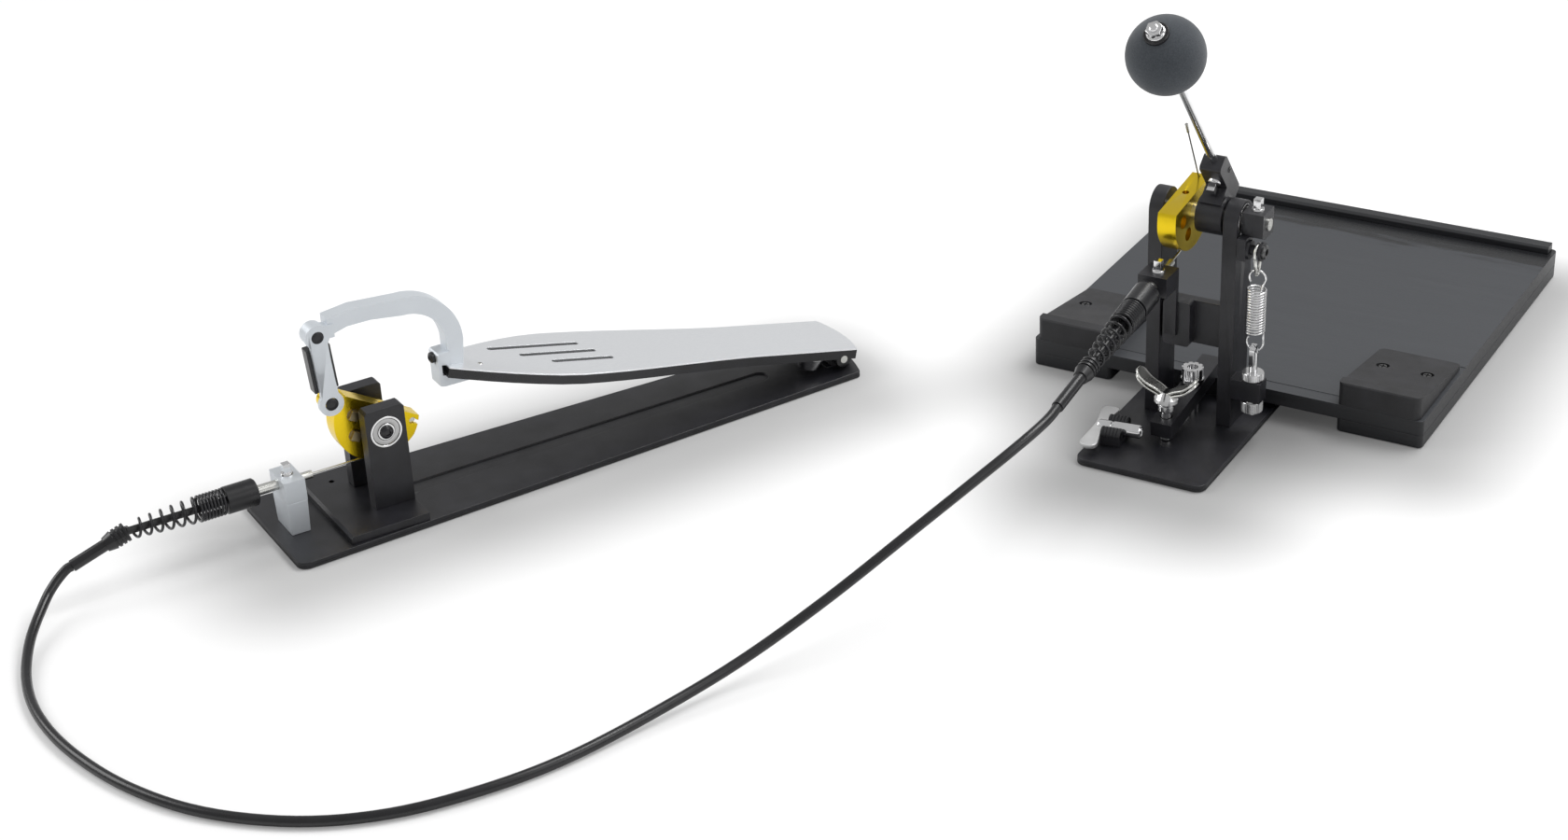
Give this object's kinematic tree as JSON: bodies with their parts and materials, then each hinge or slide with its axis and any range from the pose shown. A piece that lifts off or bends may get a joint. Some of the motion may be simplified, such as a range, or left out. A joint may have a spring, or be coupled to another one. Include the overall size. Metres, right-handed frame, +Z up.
{
  "type": "cajon pedal",
  "caption": "Cable-driven pedal for a box drum: a sprung footboard pulls a sheathed cable that swings a beater standing on a plate clamped to the drum's platform",
  "frame": {"origin": "on the floor under the middle of the beater shaft, on the underside of the beater unit's base plate", "axes": "X along the beater shaft to the return spring, Y towards the drum that the beater strikes, Z up"},
  "size_m": [0.7482, 1.0791, 0.3482],
  "materials": {
    "black_coat": "satin black coat",
    "rubber": "matt black rubber",
    "zinc": "bright zinc",
    "chrome": "chrome",
    "alu": "brushed",
    "cast_alu": "cast and tumbled",
    "cam_coat": "gold anodised",
    "black_plastic": "moulded, satin",
    "black_wood": "black stained plywood",
    "felt": "dark grey felt"
  },
  "bodies": {
    "stands": {"pedal_mat": "rubber", "pedal_base_plate": "black_coat", "tower_foot": "black_coat", "near_post": "black_coat", "far_post": "black_coat", "pedal_bearings": "chrome", "heel_hinge_block": "black_coat", "pedal_clamp_base": "cast_alu", "pedal_clamp_cap": "cast_alu", "ferrule_screws": "chrome", "cable_ferrules": "zinc", "cable_sleeves": "black_plastic", "strain_springs": "black_coat", "cable_caps": "black_plastic", "pull_wires": "zinc", "cable": "black_plastic", "stand_mat": "rubber", "stand_plate": "black_coat", "left_post": "black_coat", "right_post": "black_coat", "stand_bearings": "chrome", "cross_plate": "black_coat", "cable_anchor": "black_coat", "tension_rod": "chrome", "knurled_nuts": "chrome", "pivot_screw": "black_coat", "key_clips": "black_coat", "platform_deck": "black_wood", "platform_runners": "black_wood", "rear_rail": "black_wood", "corner_pads": "rubber", "pad_screws": "zinc"},
    "pedal_cam_turning": {"pedal_axle": "zinc", "pedal_axle_screws": "zinc", "pedal_cam": "cam_coat", "cam_bolts": "zinc", "pedal_wire_wrap": "zinc", "lower_link_bolt": "black_coat"},
    "footboard": {"footboard_core": "black_coat", "footboard_cover": "alu", "swan_neck": "cast_alu", "neck_bolt": "black_coat", "heel_pin": "zinc", "heel_stud": "chrome"},
    "link": {"link_plate": "cast_alu", "link_core": "black_plastic", "upper_link_bolt": "black_coat"},
    "beater": {"beater_axle": "zinc", "beater_cam": "cam_coat", "beater_wire_wrap": "zinc", "beater_hub": "black_coat", "hub_screws": "chrome", "beater_rod": "chrome", "beater_ball": "felt", "rocker": "black_coat"},
    "spring": {"return_spring": "chrome"},
    "hook": {"spring_hook": "zinc"},
    "clamp_lever_body": {"clamp_lever": "black_coat"},
    "wing_screw_body": {"wing_screw": "chrome"},
    "drum_key_body": {"drum_key": "chrome"}
  },
  "joints": [
    {"name": "beater_swing", "type": "hinge", "parent": "stands", "child": "beater", "pos_m": [0, 0, 0.166], "axis": [-1, 0, 0], "range_deg": [0, 42], "stiffness_Nm_per_rad": 1.2, "springref_deg": -34.38},
    {"name": "pedal_cam_turn", "type": "hinge", "parent": "stands", "child": "pedal_cam_turning", "pos_m": [-0.47963, -0.37607, 0.07], "axis": [0.8829, -0.4695, 0], "range_deg": [0, 42]},
    {"name": "footboard_press", "type": "hinge", "parent": "stands", "child": "footboard", "pos_m": [-0.30334, -0.04452, 0.0146], "axis": [0.8829, -0.4695, 0], "range_deg": [0, 3.8]},
    {"name": "link_turn", "type": "hinge", "parent": "footboard", "child": "link", "pos_m": [-0.49632, -0.40746, 0.14867], "axis": [0.8829, -0.4695, 0], "range_deg": [-7, 0]},
    {"name": "spring_lean", "type": "hinge", "parent": "stands", "child": "spring", "pos_m": [0.038, -0.011, 0.0722], "axis": [1, 0, 0], "range_deg": [0, 5.6]},
    {"name": "spring_stretch", "type": "slide", "parent": "spring", "child": "hook", "axis": [0, 0, 1], "range_m": [0, 0.0122], "deforming": ["return_spring"]},
    {"name": "clamp_lever_rock", "type": "hinge", "parent": "stands", "child": "clamp_lever_body", "pos_m": [-0.012, -0.003, 0.0237], "axis": [1, 0, 0], "range_deg": [0, 1.5]},
    {"name": "wing_screw_turn", "type": "hinge", "parent": "stands", "child": "wing_screw_body", "pos_m": [-0.012, -0.05, 0.03], "axis": [0, 0, 1], "range_deg": [0, 360]},
    {"name": "drum_key_pull", "type": "slide", "parent": "stands", "child": "drum_key_body", "axis": [-0.9925, -0.1219, 0], "range_m": [0, 0.022]}
  ],
  "couplings": [
    {"joint": "pedal_cam_turn", "follows": "beater_swing", "ratio": 1},
    {"joint": "footboard_press", "follows": "beater_swing", "ratio": 0.0896},
    {"joint": "link_turn", "follows": "beater_swing", "ratio": -0.1615},
    {"joint": "spring_lean", "follows": "beater_swing", "ratio": 0.128},
    {"joint": "spring_stretch", "follows": "beater_swing", "m_per_rad": 0.01643},
    {"joint": "clamp_lever_rock", "follows": "wing_screw_turn", "ratio": 0.00389}
  ]
}
